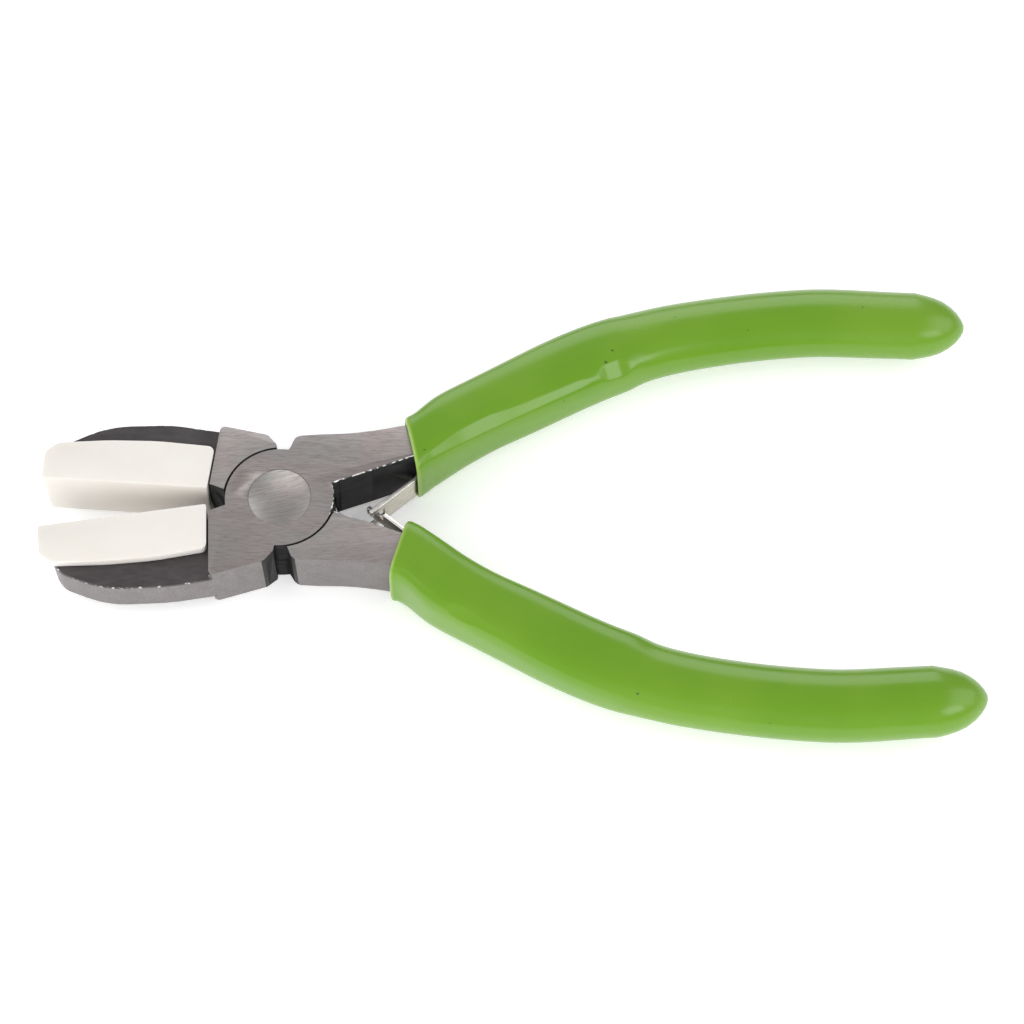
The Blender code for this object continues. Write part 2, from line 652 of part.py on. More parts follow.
def grip(name, side, collection):
    """A dipped grip: a blind sleeve over the tang, open at its front lip."""
    lip = JOINT_THICKNESS / 2 + GRIP_LIP
    rear_width = GRIP_WIDTH / 2
    rear_height = GRIP_THICKNESS / 2
    shift = side * GRIP_STAGGER
    start = GRIP_FRONT + shift
    front = GRIP_FRONT + 0.6 * MM
    end = GRIP_LENGTH + shift
    turn = GRIP_FRONT_ANGLE - side * GRIP_FRONT_TILT
    # Each row is: x, then outward and inward half widths and half thickness against the rear's, squareness
    # and ring angle.
    shape = (
        (start, -1.10, -0.55, lip - rear_height - 0.15 * MM, 4.5, turn),
        (start + 0.35 * MM, -0.80, -0.25, lip - rear_height, 4.5, turn),
        (start + 1.5 * MM, -0.65, -0.20, lip - rear_height, 4.2, 1.25 * turn),
        (front + 3.6 * MM, -0.55, -0.25, lip - rear_height - 0.2 * MM, 3.8, 1.7 * turn),
        (front + 6.5 * MM, -0.45, -0.30, lip - rear_height - 0.45 * MM, 3.5, None),
        (front + 10.3 * MM, -0.35, -0.30, 0.40 * MM, 3.3, None),
        (front + 15.0 * MM, -0.10, -0.10, 0.30 * MM, 3.0, None),
        (front + 20.0 * MM, 0.15, 0.15, 0.20 * MM, 2.8, None),
        (front + 26.0 * MM, 0.15, 0.20, 0.10 * MM, 2.6, None),
        (front + 29.0 * MM, 0.15, 0.20, 0.05 * MM, 2.5, None),
        (front + 32.0 * MM, 0.10, 0.00, 0.0, 2.4, None),
        (front + 36.0 * MM, 0.0, 0.0, 0.0, 2.3, None),
        (front + 44.0 * MM, 0.0, 0.0, 0.0, 2.2, None),
        (front + 53.0 * MM, 0.0, 0.0, 0.0, 2.2, None),
        (front + 62.0 * MM, 0.0, 0.0, 0.0, 2.2, None),
        (end - 10.0 * MM, -0.10, -0.10, -0.10 * MM, 2.2, None),
        (end - 6.0 * MM, -0.35, -0.35, -0.20 * MM, 2.2, None),
        (end - 3.4 * MM, -1.10, -1.10, -0.80 * MM, 2.1, None),
        (end - 1.4 * MM, -2.60, -2.60, -2.00 * MM, 2.0, None),
        (end, -4.30, -4.30, -3.55 * MM, 2.0, None),
    )
    outer = [
        (x, rear_width + out * MM, rear_width + inn * MM, rear_height + up, square, angle)
        for x, out, inn, up, square, angle in shape
    ]
    body = loft(name, outer, collection)
    bore = loft("bore", tang_stations(GAP), collection, sides=16)
    half = JOINT_THICKNESS / 2 + GAP
    outer_edge, inner_edge = tang_edges(GAP)
    outer_turn, inner_turn = root_turns()
    spare = Vector((0.0, 1.5 * GAP))
    corners = [outer_edge, inner_edge, inner_turn - spare, outer_turn + spare]
    seat = plate("seat", corners, -half, half, collection)
    low, high = leaf_heights(side, STAKE_END_ROOM)
    window = plate("window", leaf_window(), low, high, collection)
    boolean(body, [bore, seat, window], "DIFFERENCE")
    return body


def leaf_window():
    """Plan of the room that a leaf needs in the inner wall of its grip's front."""
    root = from_root((0.0, 0.0))
    into = root_normal()
    along = Vector((into.y, -into.x))
    reach = LEAF_THICKNESS / 2 + LEAF_SWING
    return [
        root + into * 0.5 * MM + along * reach,
        root + into * 0.5 * MM - along * (reach + 2.0 * MM),
        root - into * 4.5 * MM - along * (reach + 6.0 * MM),
        root - into * 4.5 * MM + along * reach,
    ]


def finish_piece(solid, look, side, parent):
    """Give a piece its finish, turn it to its side and hang it from its joint's empty."""
    solid.data.materials.clear()
    solid.data.materials.append(look)
    solid.data.shade_smooth()
    solid.data.set_sharp_from_angle(angle=math.radians(30))
    solid.location = (0.0, 0.0, MIDDLE)
    if side < 0:
        solid.rotation_euler = (math.pi, 0.0, 0.0)
    bpy.context.view_layer.update()
    world = solid.matrix_world.copy()
    solid.parent = parent
    solid.matrix_parent_inverse = parent.matrix_world.inverted()
    solid.matrix_world = world


def axis_empty(name, place, collection, parent=None):
    """An empty on a joint's axis."""
    empty = bpy.data.objects.new(name, None)
    empty.empty_display_size = 5.0 * MM
    collection.objects.link(empty)
    empty.location = place
    if parent is not None:
        bpy.context.view_layer.update()
        empty.parent = parent
        empty.matrix_parent_inverse = parent.matrix_world.inverted()
    bpy.context.view_layer.update()
    return empty


def main():
    for old in list(bpy.data.objects):
        bpy.data.objects.remove(old)
    collection = bpy.data.collections.new(OBJECT_NAME)
    bpy.context.scene.collection.children.link(collection)

    steel = material("ground_steel", (0.30, 0.29, 0.28), 0.38, 0.9)
    bright = material("rivet_steel", (0.34, 0.33, 0.32), 0.34, 0.9)
    nylon = material("white_nylon", (0.86, 0.84, 0.79), 0.45, 0.0)
    vinyl = material("green_vinyl", (0.20, 0.39, 0.045), 0.25, 0.0)
    spring = material("spring_steel", (0.40, 0.36, 0.31), 0.35, 0.9)
    pin_steel = material("pin_steel", (0.45, 0.45, 0.46), 0.3, 1.0)

    fixed = axis_empty("lower_handle_half", (0.0, 0.0, MIDDLE), collection)
    moving = axis_empty("pivot_axis", (0.0, 0.0, MIDDLE), collection, fixed)
    leaf_x, leaf_y = from_root((0.0, 0.0))
    leaf_axes = {
        1: axis_empty("upper_leaf_axis", (leaf_x, leaf_y, MIDDLE), collection, moving),
        -1: axis_empty("lower_leaf_axis", (leaf_x, -leaf_y, MIDDLE), collection, fixed),
    }
    names = {
        1: ("upper_handle_lever", "lower_jaw_pad", "lower_pad_pin", "upper_spring_leaf", "upper_grip"),
        -1: ("lower_handle_lever", "upper_jaw_pad", "upper_pad_pin", "lower_spring_leaf", "lower_grip"),
    }
    for side, half in ((1, moving), (-1, fixed)):
        lever_name, pad_name, pin_name, leaf_name, grip_name = names[side]
        finish_piece(lever(lever_name, side, collection), steel, side, half)
        finish_piece(pad(pad_name, side, collection), nylon, side, half)
        finish_piece(pad_pin_body(pin_name, side, 0.0, collection), pin_steel, side, half)
        finish_piece(leaf(leaf_name, side, collection), spring, side, leaf_axes[side])
        finish_piece(grip(grip_name, side, collection), vinyl, side, half)
    finish_piece(rivet_body("pivot_rivet", 0.0, 0.0, collection), bright, 1, fixed)


main()
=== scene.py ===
# %% [markdown]
# # Small nylon-jaw pliers
# The tool lies flat and half open, as its leaf spring holds it. It has two steel halves, a rivet, two nylon
# jaw pads, two dipped grips and two spring leaves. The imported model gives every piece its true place, so this
# lesson starts by loading it and then gives each piece its finished shape and surface.

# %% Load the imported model
import math

import bmesh
import bpy
from mathutils import Matrix, Vector


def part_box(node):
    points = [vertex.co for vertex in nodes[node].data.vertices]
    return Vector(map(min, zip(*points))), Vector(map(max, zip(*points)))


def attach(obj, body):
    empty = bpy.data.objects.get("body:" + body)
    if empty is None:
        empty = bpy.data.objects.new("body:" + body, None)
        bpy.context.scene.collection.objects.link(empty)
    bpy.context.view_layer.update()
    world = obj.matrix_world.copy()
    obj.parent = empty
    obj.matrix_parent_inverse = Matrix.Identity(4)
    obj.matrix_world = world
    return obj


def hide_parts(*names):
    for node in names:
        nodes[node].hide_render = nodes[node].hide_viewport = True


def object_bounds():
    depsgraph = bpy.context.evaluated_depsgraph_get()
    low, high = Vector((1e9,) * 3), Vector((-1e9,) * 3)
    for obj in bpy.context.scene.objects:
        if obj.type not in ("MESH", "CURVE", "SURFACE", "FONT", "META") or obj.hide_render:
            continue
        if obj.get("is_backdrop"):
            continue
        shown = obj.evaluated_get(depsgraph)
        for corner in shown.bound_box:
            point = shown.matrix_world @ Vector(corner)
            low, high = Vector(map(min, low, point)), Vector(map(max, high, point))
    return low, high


MM = 0.001
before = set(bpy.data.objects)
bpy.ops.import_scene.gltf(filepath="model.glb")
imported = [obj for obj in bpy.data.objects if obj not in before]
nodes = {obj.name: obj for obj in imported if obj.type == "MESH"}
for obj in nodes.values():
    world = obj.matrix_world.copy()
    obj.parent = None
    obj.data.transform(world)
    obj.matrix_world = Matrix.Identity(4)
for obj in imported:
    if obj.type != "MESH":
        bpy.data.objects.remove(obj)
cad_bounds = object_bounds()
MIDDLE = (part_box("pivot_rivet")[0].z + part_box("pivot_rivet")[1].z) / 2
print("pieces:", sorted(nodes), "middle plane at", round(MIDDLE / MM, 2), "mm")

# %% [markdown]
# ## Camera
# A long lens from well above the bench, about three times the tool's length away, keeps the perspective mild,
# so that the near handle doesn't look larger than the far one. It is made first so that every later step can
# be looked at.

# %% The camera
CAMERA_PLACE = (0.03035, -0.18570, 0.35325)
CAMERA_TILT = (28.0, 0.0, -0.5)  # degrees

lens = bpy.data.cameras.new("bench_view")
lens.lens = 100.0
lens.sensor_width = 36.0
lens.clip_start = 0.01
camera = bpy.data.objects.new("bench_view", lens)
camera.location = CAMERA_PLACE
camera.rotation_euler = [math.radians(angle) for angle in CAMERA_TILT]
bpy.context.scene.collection.objects.link(camera)
bpy.context.scene.camera = camera
print("camera", round(camera.location.length / MM), "mm from the pivot")

# %% [markdown]
# ## Light and floor
# The tool lies on a white table in a bright room. Area lights are used because real soft boxes are wide, and
# wide lights give gloss a soft edge. One behind the tool shines along its tops, one on each side rounds the
# shapes, and a small one at the right front puts a streak on the grips' pressed corners. A wide fill from the
# front lights the pads' faces and is hidden from reflections. The table glows a little, which keeps its
# shadows faint. The Standard view keeps whites white and greens clean.

# %% The table and the room
TOOL_CENTRE = Vector((0.03, 0.0, 0.0))
TABLE_DROP = 0.05 * MM  # under the tool's lowest point
TABLE_HALF = 0.9  # metres
TABLE_GLOW = 0.30
ROOM_LIGHT = 0.48

bpy.context.scene.view_settings.view_transform = "Standard"
world = bpy.data.worlds.new("room")
world.use_nodes = True
world.node_tree.nodes["Background"].inputs["Color"].default_value = (0.97, 0.98, 1.0, 1.0)
world.node_tree.nodes["Background"].inputs["Strength"].default_value = ROOM_LIGHT
bpy.context.scene.world = world

floor_shape = bmesh.new()
bmesh.ops.create_grid(floor_shape, x_segments=4, y_segments=4, size=TABLE_HALF)
floor_place = (TOOL_CENTRE.x, 0.0, cad_bounds[0][2] - TABLE_DROP)
bmesh.ops.translate(floor_shape, verts=floor_shape.verts, vec=floor_place)
floor_mesh = bpy.data.meshes.new("table")
floor_shape.to_mesh(floor_mesh)
floor_shape.free()
table = bpy.data.objects.new("table", floor_mesh)
bpy.context.scene.collection.objects.link(table)
table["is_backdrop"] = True
table_paint = bpy.data.materials.new("table_white")
table_paint.use_nodes = True
table_shader = table_paint.node_tree.nodes["Principled BSDF"]
table_shader.inputs["Base Color"].default_value = (0.93, 0.93, 0.93, 1.0)
table_shader.inputs["Roughness"].default_value = 0.75
table_shader.inputs["Specular IOR Level"].default_value = 0.1
table_shader.inputs["Emission Color"].default_value = (1.0, 1.0, 1.0, 1.0)
table_shader.inputs["Emission Strength"].default_value = TABLE_GLOW
table.data.materials.append(table_paint)
print("table at", round(floor_mesh.vertices[0].co.z / MM, 2), "mm")


# %% The soft boxes
def soft_box(name, place, size, power):
    """A square area light that points at the middle of the tool."""
    light = bpy.data.lights.new(name, "AREA")
    light.shape = "SQUARE"
    light.size = size
    light.energy = power
    lamp = bpy.data.objects.new(name, light)
    lamp.location = place
    lamp.rotation_euler = (TOOL_CENTRE - Vector(place)).to_track_quat("-Z", "Y").to_euler()
    bpy.context.scene.collection.objects.link(lamp)
    return lamp


soft_box("back_box", (0.05, 0.64, 0.38), 0.50, 1.6)
soft_box("left_box", (-0.70, 0.05, 0.50), 0.70, 2.8)
soft_box("right_box", (0.75, 0.05, 0.55), 0.70, 2.3)
soft_box("streak_box", (0.58, -0.46, 0.50), 0.34, 1.25)
fill = soft_box("front_fill", (-0.10, -0.78, 0.36), 0.80, 5.0)
fill.visible_glossy = False
print("lights:", len(bpy.data.lights))

# %% [markdown]
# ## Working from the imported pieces
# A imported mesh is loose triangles. Merging its corners and dissolving flat triangles gives back the real
# faces, and then a fine bevel breaks every sharp edge, as a tumbled or ground edge is broken.


# %% Merging and bevelling
MERGE_DISTANCE = 0.004 * MM
FLAT_WITHIN = math.radians(0.6)
CREASE = math.radians(50.0)  # only edges sharper than this are broken


def merged_copy(node):
    """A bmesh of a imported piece, with its corners merged and its flat triangles joined."""
    shape = bmesh.new()
    shape.from_mesh(nodes[node].data)
    bmesh.ops.remove_doubles(shape, verts=shape.verts, dist=MERGE_DISTANCE)
    bmesh.ops.dissolve_limit(shape, angle_limit=FLAT_WITHIN, verts=shape.verts, edges=shape.edges)
    bmesh.ops.recalc_face_normals(shape, faces=shape.faces)
    return shape


def break_edges(shape, width, segments=2, material=-1, only=None, clamp=True):
    """Bevel the sharp edges. A clamped bevel narrows to suit the shortest edge beside it."""
    edges = [e for e in shape.edges if e.is_manifold and e.calc_face_angle(0.0) > CREASE]
    if only is not None:
        edges = [e for e in edges if only(e)]
    if edges:
        bmesh.ops.bevel(
            shape, geom=edges, offset=width, segments=segments, profile=0.5,
            affect="EDGES", clamp_overlap=clamp, material=material,
        )
    return len(edges)


# %% Turning a bmesh into a finished piece
LARGE_FACE = 0.8 * MM * MM  # a many-sided face over this size is shaded flat
LEVEL = 0.9995  # and so is a face whose normal is this close to vertical
SHARP_ANGLE = math.radians(40)


def finished(name, shape, finishes, node, body):
    """The object of a finished bmesh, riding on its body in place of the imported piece."""
    shape.normal_update()
    for face in shape.faces:
        large = face.calc_area() > LARGE_FACE and len(face.verts) > 4
        face.smooth = not (large or abs(face.normal.z) > LEVEL)
    mesh = bpy.data.meshes.new(name)
    shape.to_mesh(mesh)
    shape.free()
    for finish in finishes:
        mesh.materials.append(finish)
    mesh.set_sharp_from_angle(angle=SHARP_ANGLE)
    piece = bpy.data.objects.new(name, mesh)
    bpy.context.scene.collection.objects.link(piece)
    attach(piece, body)
    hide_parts(node)
    print(name, len(mesh.polygons), "faces")
    return piece


# %% [markdown]
# ## Finishes
# Every finish is a Principled surface whose colour, roughness and relief come from noise on the object's own
# coordinates. The coordinates are metres, so a noise scale of 1000 gives a feature of about 1 mm, and
# stretching the pattern with a Mapping node turns blobs into grinding lines.


# %% Small node helpers
def new_finish(name, roughness, metallic):
    """A material, its node tree and its Principled shader."""
    finish = bpy.data.materials.new(name)
    finish.use_nodes = True
    shader = finish.node_tree.nodes["Principled BSDF"]
    shader.inputs["Roughness"].default_value = roughness
    shader.inputs["Metallic"].default_value = metallic
    print("finish:", name)
    return finish, finish.node_tree, shader


def pattern(tree, stretch, detail=3.0, turn=0.0, distortion=0.0, shift=(0.0, 0.0, 0.0)):
    """Noise on the object's coordinates, stretched along its axes and turned about Z in degrees."""
    place = tree.nodes.new("ShaderNodeTexCoord")
    first = tree.nodes.new("ShaderNodeMapping")
    first.vector_type = "POINT"
    first.inputs["Rotation"].default_value = (0.0, 0.0, math.radians(turn))
    first.inputs["Location"].default_value = shift
    second = tree.nodes.new("ShaderNodeMapping")
    second.inputs["Scale"].default_value = stretch
    noise = tree.nodes.new("ShaderNodeTexNoise")
    noise.inputs["Scale"].default_value = 1.0
    noise.inputs["Detail"].default_value = detail
    noise.inputs["Distortion"].default_value = distortion
    tree.links.new(place.outputs["Object"], first.inputs["Vector"])
    tree.links.new(first.outputs["Vector"], second.inputs["Vector"])
    tree.links.new(second.outputs["Vector"], noise.inputs["Vector"])
    return noise.outputs["Fac"]


# %% Colour and relief from a pattern
def ramp(tree, value, stops):
    """A colour ramp through (position, (r, g, b)) stops."""
    node = tree.nodes.new("ShaderNodeValToRGB")
    elements = node.color_ramp.elements
    while len(elements) < len(stops):
        elements.new(0.5)
    for element, (position, colour) in zip(elements, stops):
        element.position = position
        element.color = (*colour, 1.0)
    tree.links.new(value, node.inputs["Fac"])
    return node.outputs["Color"]


def spread(tree, value, low, high, to_low, to_high):
    """Map a value from one range to another, held at the ends."""
    node = tree.nodes.new("ShaderNodeMapRange")
    node.inputs["From Min"].default_value = low
    node.inputs["From Max"].default_value = high
    node.inputs["To Min"].default_value = to_low
    node.inputs["To Max"].default_value = to_high
    tree.links.new(value, node.inputs["Value"])
    return node.outputs["Result"]


def mixed(tree, factor, first, second, mode="MIX"):
    """Mix two colours. Each is a socket or a fixed (r, g, b)."""
    node = tree.nodes.new("ShaderNodeMix")
    node.data_type = "RGBA"
    node.blend_type = mode
    sockets = [s for s in node.inputs if s.type == "RGBA"]
    for socket, value in zip(sockets, (first, second)):
        if isinstance(value, tuple):
            socket.default_value = (*value, 1.0)
        else:
            tree.links.new(value, socket)
    fac = [s for s in node.inputs if s.type == "VALUE" and s.enabled][0]
    if isinstance(factor, float):
        fac.default_value = factor
    else:
        tree.links.new(factor, fac)
    return [s for s in node.outputs if s.type == "RGBA"][0]


def relief(tree, shader, height, depth, strength=1.0, under=None):
    """Bump of a real depth in metres, over another bump if one is given."""
    bump = tree.nodes.new("ShaderNodeBump")
    bump.inputs["Distance"].default_value = depth
    bump.inputs["Strength"].default_value = strength
    tree.links.new(height, bump.inputs["Height"])
    if under is not None:
        tree.links.new(under, bump.inputs["Normal"])
    tree.links.new(bump.outputs["Normal"], shader.inputs["Normal"])
    return bump.outputs["Normal"]


# %% [markdown]
# ### Ground steel
# The flat faces of the joint and handles were ground on a belt, which leaves long fine lines that wander a
# little. Steel is grey rather than white because the lines scatter light, so the base colour is a mid grey
# with a faint warm cast, crossed by stretched noise.


# %% Ground steel
def ground_steel(name, turn, light, dark, shift):
    """Belt-ground steel whose lines are turned by some degrees from the tool's length."""
    finish, tree, shader = new_finish(name, 0.42, 0.85)
    lines = pattern(tree, (700.0, 5600.0, 1500.0), 3.0, turn, 0.5, shift)
    broad = pattern(tree, (120.0, 1500.0, 500.0), 2.0, turn + 3.0, 0.6, shift)
    cast = pattern(tree, (110.0, 180.0, 110.0), 2.0, turn, 0.0, shift)
    colour = ramp(tree, lines, ((0.28, dark), (0.50, light), (0.78, tuple(1.15 * c for c in light))))
    tone = ramp(tree, broad, ((0.30, (0.88, 0.88, 0.88)), (0.70, (1.0, 1.0, 1.0))))
    colour = mixed(tree, 0.8, colour, tone, "MULTIPLY")
    tint = ramp(tree, cast, ((0.38, (1.0, 0.93, 0.91)), (0.62, (0.93, 0.95, 0.93))))
    colour = mixed(tree, 0.8, colour, tint, "MULTIPLY")
    tree.links.new(colour, shader.inputs["Base Color"])
    tree.links.new(spread(tree, lines, 0.3, 0.7, 0.48, 0.40), shader.inputs["Roughness"])
    relief(tree, shader, lines, 0.006 * MM, 0.5)
    return finish


steel_upper = ground_steel(
    "ground_steel_upper", 2.0, (0.350, 0.325, 0.319), (0.272, 0.251, 0.248), (0.0, 0.0, 0.0),
)
steel_lower = ground_steel(
    "ground_steel_lower", -7.0, (0.392, 0.366, 0.360), (0.308, 0.286, 0.282), (0.3, 0.1, 0.0),
)


# %% [markdown]
# ### Ground sides and black steel
# The outer sides were ground across the tool's thickness, so their grain is short and stands upright. Steel
# that the grinding didn't touch is still black from its heat treatment, and the thin jaws' faces are a dull,
# lighter grey from the same recipe. Each is a noise between two close colours, with a little relief from it.


# %% Ground sides
def ground_side(name):
    """The edges of the steel, ground across their thickness."""
    finish, tree, shader = new_finish(name, 0.45, 0.8)
    fine = pattern(tree, (5200.0, 5200.0, 2200.0), 3.0)
    broad = pattern(tree, (600.0, 600.0, 420.0), 3.0)
    colour = ramp(tree, fine, ((0.30, (0.212, 0.196, 0.195)), (0.70, (0.285, 0.266, 0.264))))
    tone = ramp(tree, broad, ((0.32, (0.86, 0.83, 0.83)), (0.62, (1.0, 1.0, 1.0))))
    colour = mixed(tree, 0.8, colour, tone, "MULTIPLY")
    tree.links.new(colour, shader.inputs["Base Color"])
    relief(tree, shader, fine, 0.02 * MM, 0.5)
    return finish


steel_side = ground_side("ground_side")


# %% Black oxide and the thin jaws' dull faces
def black_oxide(name, dark, light, roughness):
    """Steel left black from heat treatment, with a dusty bloom."""
    finish, tree, shader = new_finish(name, roughness, 0.25)
    dust = pattern(tree, (500.0, 1500.0, 900.0), 4.0)
    colour = ramp(tree, dust, ((0.35, dark), (0.70, light)))
    tree.links.new(colour, shader.inputs["Base Color"])
    shader.inputs["Specular IOR Level"].default_value = 0.3
    relief(tree, shader, dust, 0.02 * MM, 0.5)
    return finish


oxide = black_oxide("black_oxide", (0.016, 0.016, 0.017), (0.028, 0.028, 0.029), 0.55)
jaw_face = black_oxide("dull_jaw_face", (0.054, 0.048, 0.049), (0.073, 0.065, 0.066), 0.6)


# %% [markdown]
# ### Broken burrs and painted glints
# Grinding the sides throws up a thin burr along the edges of the blackened faces. It has broken away in places,
# so the finish is the dark face where a noise is low, and where it is high it is near-white metal: partly the
# burr's own bright steel and partly a painted glint of light along the edge.


# %% Burr edge
def burr_and_glint_edge(name, dark, cover):
    """A dark edge with flecks of near-white metal, partly burr and partly painted glint, wherever the noise is
    above cover.
    """
    finish, tree, shader = new_finish(name, 0.35, 0.7)
    flecks = pattern(tree, (1700.0, 1700.0, 1700.0), 4.0)
    # The near-white stop is partly painted glint: it is brighter than the ground steel beside it.
    colour = ramp(tree, flecks, ((cover, dark), (cover + 0.04, (0.90, 0.89, 0.87))))
    tree.links.new(colour, shader.inputs["Base Color"])
    return finish


# Both edge finishes carry painted glints as well as the burr's bright metal.
jaw_burr_and_glint = burr_and_glint_edge("jaw_burr_and_glint", (0.16, 0.15, 0.15), 0.56)
wall_burr_and_glint = burr_and_glint_edge("wall_burr_and_glint", (0.10, 0.10, 0.10), 0.47)

# %% [markdown]
# ## The two steel halves
# Each half is one forging: a thin jaw, the shoulder beside the joint, the round boss and the handle's root,
# with a tang that runs on inside the grip. One half is the other turned over. The faces are sorted by where
# they look and how high they lie, and each gets the finish that the real face has.

# %% Sorting a half's faces
FINISHES = {"flat": 0, "side": 1, "oxide": 2, "jaw": 3, "jaw_burr_and_glint": 4, "wall_burr_and_glint": 5}
THICK_FACE = MIDDLE - 0.15 * MM  # faces beyond this height are the joint's ground faces
JAW_FACE_LIMIT = 3.4 * MM  # and the thin jaw's faces lie within this
JAW_START = -9.0 * MM  # the thin jaw runs forward from this X
JAW_TIP = -26.0 * MM
RIVET_HOLE = 5.0 * MM  # walls within this radius are the countersink
BOSS_WALL = 8.4 * MM  # and within this one the round boss
SHOULDER = (-3.0 * MM, -9.0 * MM)  # the step at the shoulder's end lies beyond this place in X and in Y
NOTCH_SIDE = -2.6 * MM  # the outer side starts at this X, past the notch


def face_finish(face, side):
    """Which finish a face of a steel half has, worked out with the half turned handle up."""
    centre = face.calc_center_median()
    x, y, z = centre.x, side * centre.y, side * (centre.z - MIDDLE)
    across = side * face.normal.y
    if abs(face.normal.z) > 0.6:
        if abs(z) > THICK_FACE:
            return "flat"
        return "jaw" if x < JAW_START and abs(z) < JAW_FACE_LIMIT else "oxide"
    radius = math.hypot(x, y)
    if radius < RIVET_HOLE:
        return "flat"
    if radius < BOSS_WALL:
        return "oxide"
    if y < SHOULDER[1] and x < SHOULDER[0]:
        return "side"
    if y < 0 and x < NOTCH_SIDE and across < -0.35:
        return "side"
    if x < JAW_TIP and abs(face.normal.x) > 0.3:
        return "side"
    if y > 0 and across > 0.3 and face.normal.x > -0.5:
        return "side"
    return "oxide"


def edge_pair(edge):
    """The finishes on the two sides of an edge, in order."""
    return tuple(sorted(face.material_index for face in edge.link_faces))


# %% Making the halves
JAW_BURR = 0.15 * MM
WALL_BURR = 0.13 * MM
STEEL_EDGE = 0.07 * MM
HANDLE_START = 7.0 * MM  # the burr by the spring starts here


def steel_half(node, side, body, flat_finish):
    """A steel half with sorted faces and broken edges."""
    shape = merged_copy(node)
    for face in shape.faces:
        face.material_index = FINISHES[face_finish(face, side)]
    flat, oxide_index = FINISHES["flat"], FINISHES["oxide"]

    def plain(edge):
        """An edge outside the rivet's hole that isn't a burr."""
        place = edge.verts[0].co
        return max(edge_pair(edge)) < FINISHES["jaw_burr_and_glint"] and math.hypot(place.x, place.y) > RIVET_HOLE

    jaw_edge = (FINISHES["side"], FINISHES["jaw"])
    break_edges(
        shape, JAW_BURR, 1, FINISHES["jaw_burr_and_glint"], lambda e: edge_pair(e) == jaw_edge, clamp=False,
    )
    break_edges(
        shape, WALL_BURR, 1, FINISHES["wall_burr_and_glint"],
        lambda e: edge_pair(e) == (flat, oxide_index) and min(v.co.x for v in e.verts) > HANDLE_START,
        clamp=False,
    )
    count = break_edges(shape, STEEL_EDGE, only=plain)
    print(node, "edges broken:", count)
    looks = (flat_finish, steel_side, oxide, jaw_face, jaw_burr_and_glint, wall_burr_and_glint)
    return finished(node + "_finished", shape, looks, node, body)


steel_half("upper_handle_lever", 1, "upper_handle_half", steel_upper)
steel_half("lower_handle_lever", -1, "lower_handle_half", steel_lower)

# %% [markdown]
# ## The rivet
# The rivet was headed into countersinks on both faces and ground flush with them, so only a hairline ring
# shows where the head ends. Spinning half of its section about the axis makes it in one go.


# %% Rivet head finish
rivet_face = ground_steel(
    "ground_rivet", -15.0, (0.375, 0.357, 0.349), (0.292, 0.277, 0.272), (0.7, 0.2, 0.0),
)


# %% Spinning the rivet
HEAD_GROWTH = 0.05 * MM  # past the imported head, so that only a hairline ring is left round it
HEAD_CHAMFER = (0.06 * MM, 0.05 * MM)  # in from the rim, and down
HEAD_RIM = 0.35 * MM  # height of the straight rim over the cone
HEAD_DEPTH = 1.6 * MM
SHANK = 2.6 * MM  # radius
RIVET_STEPS = 128
RIVET_MERGE = 0.002 * MM


def spun_rivet():
    """A countersunk rivet spun from its half section, with a small chamfer round each head."""
    low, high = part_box("pivot_rivet")
    head = high.x + HEAD_GROWTH
    half = (high.z - low.z) / 2
    section = [
        (0.0, half), (head - HEAD_CHAMFER[0], half), (head, half - HEAD_CHAMFER[1]),
        (head, half - HEAD_RIM), (SHANK, half - HEAD_DEPTH),
    ]
    section += [(r, -z) for r, z in reversed(section)]
    shape = bmesh.new()
    corners = [shape.verts.new((r, 0.0, MIDDLE + z)) for r, z in section]
    edges = [shape.edges.new(pair) for pair in zip(corners, corners[1:])]
    bmesh.ops.spin(
        shape, geom=corners + edges, cent=(0.0, 0.0, MIDDLE), axis=(0.0, 0.0, 1.0),
        angle=2 * math.pi, steps=RIVET_STEPS, use_merge=True,
    )
    bmesh.ops.remove_doubles(shape, verts=shape.verts, dist=RIVET_MERGE)
    bmesh.ops.recalc_face_normals(shape, faces=shape.faces)
    return shape


finished(
    "pivot_rivet_finished", spun_rivet(), (rivet_face,), "pivot_rivet", "lower_handle_half",
)

# %% [markdown]
# ## The nylon pads
# The pads are moulded channels that slide over the thin jaws. Moulded nylon is milky, slightly warm and
# satin, with every outer edge rounded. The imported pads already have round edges, so only the channel's
# edges are broken here and the faces are shaded smooth. Light goes a little way into nylon and comes out
# beside where it went in, so the finish has about a millimetre of subsurface scattering.


# %% Nylon finish
def nylon_finish(name):
    """Milky moulded nylon with faint cloudiness and a fine satin skin."""
    finish, tree, shader = new_finish(name, 0.42, 0.0)
    cloud = pattern(tree, (140.0, 140.0, 140.0), 3.0)
    skin = pattern(tree, (5200.0, 5200.0, 5200.0), 2.0)
    colour = ramp(tree, cloud, ((0.35, (0.735, 0.700, 0.645)), (0.65, (0.755, 0.724, 0.678))))
    tree.links.new(colour, shader.inputs["Base Color"])
    tree.links.new(spread(tree, cloud, 0.3, 0.7, 0.38, 0.50), shader.inputs["Roughness"])
    relief(tree, shader, skin, 0.01 * MM, 0.4)
    shader.inputs["Subsurface Weight"].default_value = 0.35
    shader.inputs["Subsurface Radius"].default_value = (1.0, 0.92, 0.78)
    shader.inputs["Subsurface Scale"].default_value = 1.0 * MM
    return finish


nylon = nylon_finish("milky_nylon")


# %% Making the pads
PAD_EDGE = 0.12 * MM


def jaw_pad(node, body):
    """A nylon pad with its last sharp edges broken."""
    shape = merged_copy(node)
    break_edges(shape, PAD_EDGE)
    return finished(node + "_finished", shape, (nylon,), node, body)


